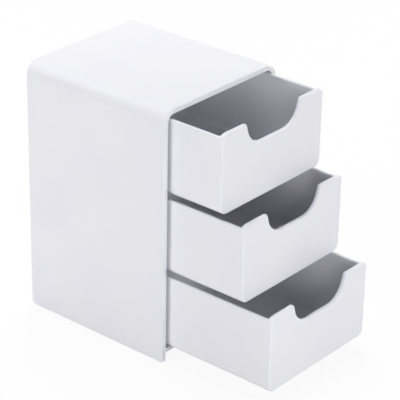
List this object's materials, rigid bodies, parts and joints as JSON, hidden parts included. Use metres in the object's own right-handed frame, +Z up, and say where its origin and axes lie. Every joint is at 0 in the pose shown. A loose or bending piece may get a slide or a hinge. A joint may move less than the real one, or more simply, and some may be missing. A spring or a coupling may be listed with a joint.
{
  "type": "desk organizer",
  "caption": "Small desktop chest of drawers: stacked open-topped trays with scooped finger notches slide in an upright moulded casing with rounded top edges.",
  "frame": {"origin": "on the desk surface, under the middle of the box that the object fills with its drawers as modelled", "axes": "+Z up, -Y the way the drawers pull out, +X to the right as seen by someone facing the drawers"},
  "size_m": [0.0984, 0.1816, 0.16],
  "materials": {
    "casing_plastic": "white injection-moulded ABS, polished, with soft highlights",
    "panel_plastic": "white injection-moulded ABS, satin",
    "drawer_plastic": "white injection-moulded ABS, polished outside, satin inside",
    "pad_rubber": "pale grey matt silicone rubber"
  },
  "bodies": {
    "casing": {"case_shell": "casing_plastic", "back_panel": "panel_plastic", "foot_pad_front_left": "pad_rubber", "foot_pad_front_right": "pad_rubber", "foot_pad_rear_left": "pad_rubber", "foot_pad_rear_right": "pad_rubber"},
    "lower_drawer": {"drawer_bottom": "drawer_plastic"},
    "middle_drawer": {"drawer_middle": "drawer_plastic"},
    "upper_drawer": {"drawer_top": "drawer_plastic"}
  },
  "joints": [
    {"name": "drawer_bottom_slide", "type": "slide", "parent": "casing", "child": "lower_drawer", "axis": [0, -1, 0], "range_m": [-0.0755, 0.0105]},
    {"name": "drawer_middle_slide", "type": "slide", "parent": "casing", "child": "middle_drawer", "axis": [0, -1, 0], "range_m": [-0.0545, 0.0315]},
    {"name": "drawer_top_slide", "type": "slide", "parent": "casing", "child": "upper_drawer", "axis": [0, -1, 0], "range_m": [-0.038, 0.048]}
  ]
}
